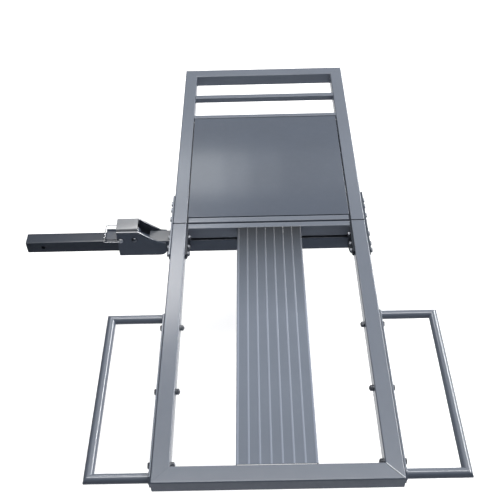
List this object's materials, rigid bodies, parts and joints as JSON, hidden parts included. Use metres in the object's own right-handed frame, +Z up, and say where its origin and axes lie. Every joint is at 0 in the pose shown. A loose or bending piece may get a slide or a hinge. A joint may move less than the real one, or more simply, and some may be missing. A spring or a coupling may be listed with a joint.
{
  "type": "hitch mounted bike rack",
  "caption": "Flat hitch-mounted platform carrier with a fold-up bracket, a ribbed board, a deck panel and side loops bolted to square-tube frame halves.",
  "frame": {"origin": "centre of the hitch-pin hole, on the shank's centreline", "axes": "+X from the vehicle out along the shank and beam, +Y along the platform's length across the vehicle, +Z up with the platform in its level, unfolded position"},
  "size_m": [1.409, 1.98, 0.127],
  "materials": {
    "powder_coat": "satin blue-grey powder coat",
    "dark_powder_coat": "satin charcoal powder coat",
    "pale_powder_coat": "satin light grey powder coat",
    "bolt_steel": "dark zinc plated steel",
    "zinc_plate": "bright zinc plated steel",
    "nylon": "black nylon"
  },
  "bodies": {
    "hitch_bracket": {"shank": "dark_powder_coat", "saddle_plate": "dark_powder_coat", "bracket_plate_near": "dark_powder_coat", "bracket_plate_far": "dark_powder_coat", "cover_channel": "pale_powder_coat", "pivot_bolt": "bolt_steel", "spacer_bush_near": "nylon", "spacer_bush_far": "nylon", "lock_pin": "zinc_plate"},
    "platform": {"beam": "dark_powder_coat", "beam_cap": "nylon", "deck_panel": "powder_coat", "far_cross_tube": "powder_coat", "far_end_tube": "powder_coat", "far_panel_bar": "powder_coat", "far_rail_left": "powder_coat", "far_rail_right": "powder_coat", "far_slim_bar": "powder_coat", "loop_bolt_left_1": "bolt_steel", "loop_bolt_left_2": "bolt_steel", "loop_bolt_left_3": "bolt_steel", "loop_bolt_right_1": "bolt_steel", "loop_bolt_right_2": "bolt_steel", "loop_bolt_right_3": "bolt_steel", "loop_left_arm_far": "powder_coat", "loop_left_arm_near": "powder_coat", "loop_left_outer_tube": "powder_coat", "loop_left_strip": "powder_coat", "loop_right_arm_far": "powder_coat", "loop_right_arm_near": "powder_coat", "loop_right_outer_tube": "powder_coat", "loop_right_strip": "powder_coat", "near_cross_tube": "powder_coat", "near_end_tube": "powder_coat", "near_rail_left": "powder_coat", "near_rail_right": "powder_coat", "panel_ledge_left": "powder_coat", "panel_ledge_right": "powder_coat", "ribbed_board": "powder_coat", "splice_bolt_left_1": "bolt_steel", "splice_bolt_left_2": "bolt_steel", "splice_bolt_left_3": "bolt_steel", "splice_bolt_left_4": "bolt_steel", "splice_bolt_left_5": "bolt_steel", "splice_bolt_left_6": "bolt_steel", "splice_bolt_right_1": "bolt_steel", "splice_bolt_right_2": "bolt_steel", "splice_bolt_right_3": "bolt_steel", "splice_bolt_right_4": "bolt_steel", "splice_bolt_right_5": "bolt_steel", "splice_bolt_right_6": "bolt_steel", "splice_plate_left_inner": "powder_coat", "splice_plate_left_outer": "powder_coat", "splice_plate_right_inner": "powder_coat", "splice_plate_right_outer": "powder_coat", "tongue": "dark_powder_coat"},
    "bail": {"wire_bail": "zinc_plate"}
  },
  "joints": [
    {"name": "rack_fold", "type": "hinge", "parent": "hitch_bracket", "child": "platform", "pos_m": [0.338, 0, 0.042], "axis": [0, -1, 0], "range_deg": [0, 90]},
    {"name": "bail_swing", "type": "hinge", "parent": "hitch_bracket", "child": "bail", "pos_m": [0.289, 0, 0.04], "axis": [0, 1, 0], "range_deg": [0, 120]}
  ]
}
